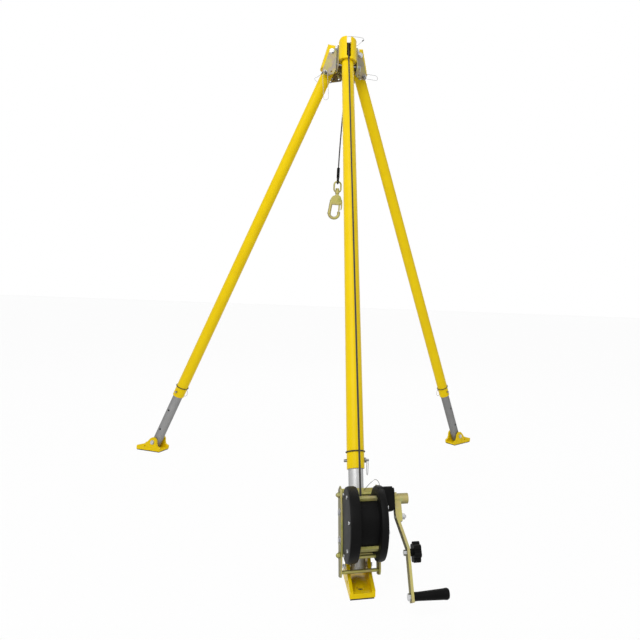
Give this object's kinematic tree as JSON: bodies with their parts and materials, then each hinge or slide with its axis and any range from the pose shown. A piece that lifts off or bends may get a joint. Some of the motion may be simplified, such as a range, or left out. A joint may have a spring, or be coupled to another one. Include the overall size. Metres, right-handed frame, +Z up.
{
  "type": "rescue tripod",
  "caption": "Free-standing rescue tripod with folding telescopic legs, swivel feet, a leg-mounted hand winch and a rope over the head to a swivel snap hook.",
  "frame": {"origin": "on the floor at the middle of the footprint", "axes": "+Z up, -Y toward the leg that carries the winch"},
  "size_m": [1.9464, 1.8128, 2.2223],
  "materials": {
    "yellow_coat": "gloss powder coat",
    "zinc_plate": "yellow zinc plating",
    "satin_aluminium": "satin",
    "bright_steel": "bright zinc",
    "black_plastic": "fine texture",
    "black_rubber": "matte",
    "dark_rope": "braided"
  },
  "bodies": {
    "head": {"head_plates": "zinc_plate", "head_spider": "zinc_plate", "leg_pivot_bolts": "bright_steel", "rope_over": "dark_rope", "rope_drop": "dark_rope"},
    "sheave": {"sheave": "black_plastic"},
    "front_leg": {"front_yoke": "yellow_coat", "front_outer_tube": "yellow_coat", "front_guide_bush": "black_plastic", "front_band": "black_rubber", "rope_run": "dark_rope"},
    "front_lower": {"front_inner_tube": "satin_aluminium", "front_foot_bolt": "bright_steel", "winch_saddle": "zinc_plate", "winch_clamps": "zinc_plate", "winch_straps": "zinc_plate", "winch_cross_bars": "zinc_plate", "winch_screws": "bright_steel", "left_housing": "black_plastic", "right_housing": "black_plastic", "drum_guard": "black_plastic", "drum_axle": "bright_steel"},
    "front_foot": {"front_foot": "yellow_coat", "front_foot_pad": "black_rubber"},
    "front_lock_pin": {"front_lock_pin": "bright_steel"},
    "front_leg_pin": {"front_leg_pin": "bright_steel"},
    "left_leg": {"left_yoke": "yellow_coat", "left_outer_tube": "yellow_coat", "left_guide_bush": "black_plastic", "left_band": "black_rubber"},
    "left_lower": {"left_inner_tube": "satin_aluminium", "left_foot_bolt": "bright_steel"},
    "left_foot": {"left_foot": "yellow_coat", "left_foot_pad": "black_rubber"},
    "left_lock_pin": {"left_lock_pin": "bright_steel"},
    "left_leg_pin": {"left_leg_pin": "bright_steel"},
    "right_leg": {"right_yoke": "yellow_coat", "right_outer_tube": "yellow_coat", "right_guide_bush": "black_plastic", "right_band": "black_rubber"},
    "right_lower": {"right_inner_tube": "satin_aluminium", "right_foot_bolt": "bright_steel"},
    "right_foot": {"right_foot": "yellow_coat", "right_foot_pad": "black_rubber"},
    "right_lock_pin": {"right_lock_pin": "bright_steel"},
    "right_leg_pin": {"right_leg_pin": "bright_steel"},
    "drum": {"drum": "bright_steel", "drum_gear": "bright_steel", "drum_rope": "dark_rope"},
    "crank": {"crank_shaft": "bright_steel", "load_brake": "bright_steel", "crank_arm": "zinc_plate", "grip_bolt": "bright_steel"},
    "pawl": {"brake_pawl": "bright_steel"},
    "knob": {"crank_knob": "black_plastic"},
    "grip": {"crank_grip": "black_plastic"},
    "line_end": {"rope_eye": "black_plastic", "hook_swivel": "zinc_plate"},
    "hook": {"hook_body": "zinc_plate"},
    "gate": {"hook_gate": "zinc_plate"}
  },
  "joints": [
    {"name": "front_fold", "type": "hinge", "parent": "head", "child": "front_leg", "pos_m": [0, 0.26384, 2.1676], "axis": [1, 0, 0], "range_deg": [0, 20]},
    {"name": "front_extend", "type": "slide", "parent": "front_leg", "child": "front_lower", "axis": [0, -0.4067, -0.9135], "range_m": [0, 0.684], "deforming": ["rope_run"]},
    {"name": "front_foot_swivel", "type": "hinge", "parent": "front_lower", "child": "front_foot", "pos_m": [0, -0.67898, 0.05], "axis": [1, 0, 0], "range_deg": [-14, 25]},
    {"name": "front_lock_pull", "type": "slide", "parent": "head", "child": "front_lock_pin", "axis": [1, 0, 0], "range_m": [0, 0.11]},
    {"name": "front_leg_pin_pull", "type": "slide", "parent": "front_leg", "child": "front_leg_pin", "axis": [1, 0, 0], "range_m": [0, 0.085]},
    {"name": "left_fold", "type": "hinge", "parent": "head", "child": "left_leg", "pos_m": [-0.04936, 0.34934, 2.1676], "axis": [-0.5, -0.866, 0], "range_deg": [0, 20]},
    {"name": "left_extend", "type": "slide", "parent": "left_leg", "child": "left_lower", "axis": [-0.3522, 0.2034, -0.9135], "range_m": [-0.228, 0.456]},
    {"name": "left_foot_swivel", "type": "hinge", "parent": "left_lower", "child": "left_foot", "pos_m": [-0.86587, 0.82074, 0.05], "axis": [-0.5, -0.866, 0], "range_deg": [-25, 25]},
    {"name": "left_lock_pull", "type": "slide", "parent": "head", "child": "left_lock_pin", "axis": [-0.5, -0.866, 0], "range_m": [0, 0.11]},
    {"name": "left_leg_pin_pull", "type": "slide", "parent": "left_leg", "child": "left_leg_pin", "axis": [0.5, 0.866, 0], "range_m": [0, 0.085]},
    {"name": "right_fold", "type": "hinge", "parent": "head", "child": "right_leg", "pos_m": [0.04936, 0.34934, 2.1676], "axis": [-0.5, 0.866, 0], "range_deg": [0, 20]},
    {"name": "right_extend", "type": "slide", "parent": "right_leg", "child": "right_lower", "axis": [0.3522, 0.2034, -0.9135], "range_m": [-0.228, 0.456]},
    {"name": "right_foot_swivel", "type": "hinge", "parent": "right_lower", "child": "right_foot", "pos_m": [0.86587, 0.82074, 0.05], "axis": [-0.5, 0.866, 0], "range_deg": [-25, 25]},
    {"name": "right_lock_pull", "type": "slide", "parent": "head", "child": "right_lock_pin", "axis": [0.5, -0.866, 0], "range_m": [0, 0.11]},
    {"name": "right_leg_pin_pull", "type": "slide", "parent": "right_leg", "child": "right_leg_pin", "axis": [-0.5, 0.866, 0], "range_m": [0, 0.085]},
    {"name": "drum_spin", "type": "hinge", "parent": "front_lower", "child": "drum", "pos_m": [0.01, -0.76396, 0.20825], "axis": [-1, 0, 0], "range_deg": [-1080, 396]},
    {"name": "crank_spin", "type": "hinge", "parent": "front_lower", "child": "crank", "pos_m": [0.08, -0.75505, 0.27162], "axis": [-1, 0, 0], "range_deg": [-1717, 4681]},
    {"name": "sheave_spin", "type": "hinge", "parent": "head", "child": "sheave", "pos_m": [0, 0.26384, 2.1676], "axis": [-1, 0, 0], "range_deg": [-700, 1907]},
    {"name": "hook_lift", "type": "slide", "parent": "head", "child": "line_end", "axis": [0, 0, 1], "range_m": [-1.132, 0.416], "deforming": ["rope_drop"]},
    {"name": "hook_turn", "type": "hinge", "parent": "line_end", "child": "hook", "pos_m": [-0.01, 0.29784, 1.414], "axis": [0, 0, 1], "continuous": true},
    {"name": "gate_open", "type": "hinge", "parent": "hook", "child": "gate", "pos_m": [0.007, 0.29784, 1.37], "axis": [0, 1, 0], "range_deg": [0, 25], "stiffness_Nm_per_rad": 0.05, "springref_deg": -17.19},
    {"name": "knob_turn", "type": "hinge", "parent": "crank", "child": "knob", "pos_m": [0.14, -0.83242, 0.14781], "axis": [1, 0, 0], "continuous": true},
    {"name": "grip_turn", "type": "hinge", "parent": "crank", "child": "grip", "pos_m": [0.19, -0.88965, 0.05622], "axis": [1, 0, 0], "continuous": true},
    {"name": "pawl_lift", "type": "hinge", "parent": "front_lower", "child": "pawl", "pos_m": [0.062, -0.78694, 0.259], "axis": [-1, 0, 0], "range_deg": [0, 8], "stiffness_Nm_per_rad": 0.02, "springref_deg": -11.46}
  ],
  "couplings": [
    {"joint": "crank_spin", "follows": "drum_spin", "ratio": -4.3333},
    {"joint": "sheave_spin", "follows": "drum_spin", "ratio": -1.7647},
    {"joint": "hook_lift", "follows": "drum_spin", "m_per_rad": 0.06}
  ]
}
